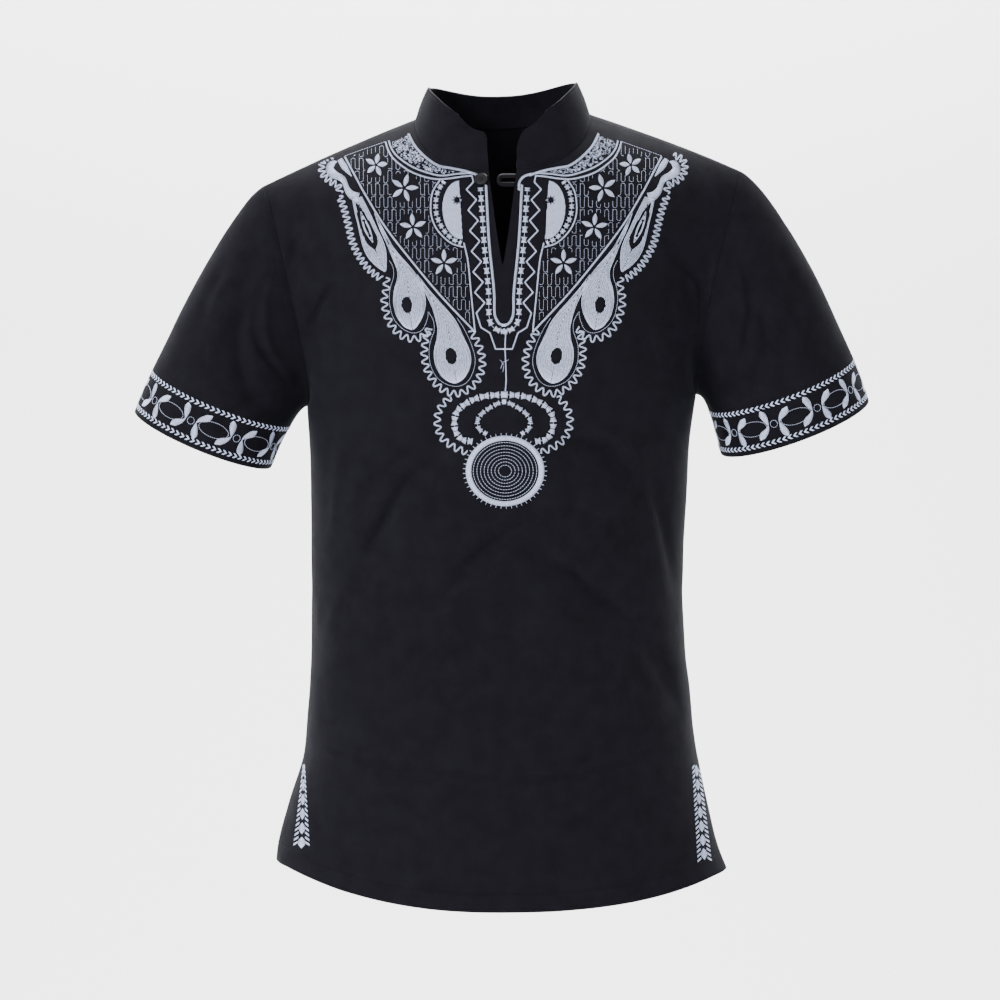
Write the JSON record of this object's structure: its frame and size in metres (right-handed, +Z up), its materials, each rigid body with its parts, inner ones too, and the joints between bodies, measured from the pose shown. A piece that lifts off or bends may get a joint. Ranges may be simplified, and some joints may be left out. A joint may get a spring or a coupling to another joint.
{
  "type": "dashiki shirt",
  "caption": "Short-sleeved pull-on dashiki shirt in black cloth with a stand collar, an open neck slit and side vents, worn and hollow.",
  "frame": {"origin": "the middle of the wearer's neck at the height of the shoulder line, where the wearer holds the shirt up", "axes": "+Z up, -Y to the front of the shirt, +X to the wearer's left"},
  "size_m": [0.7014, 0.2507, 0.7702],
  "materials": {
    "black_cotton": "plain-woven cotton, matt",
    "black_button": "satin"
  },
  "bodies": {
    "root": {"front_panel": "black_cotton", "back_panel": "black_cotton", "sleeve_right": "black_cotton", "sleeve_left": "black_cotton", "collar": "black_cotton", "button_loop": "black_cotton", "button": "black_button"}
  },
  "joints": []
}
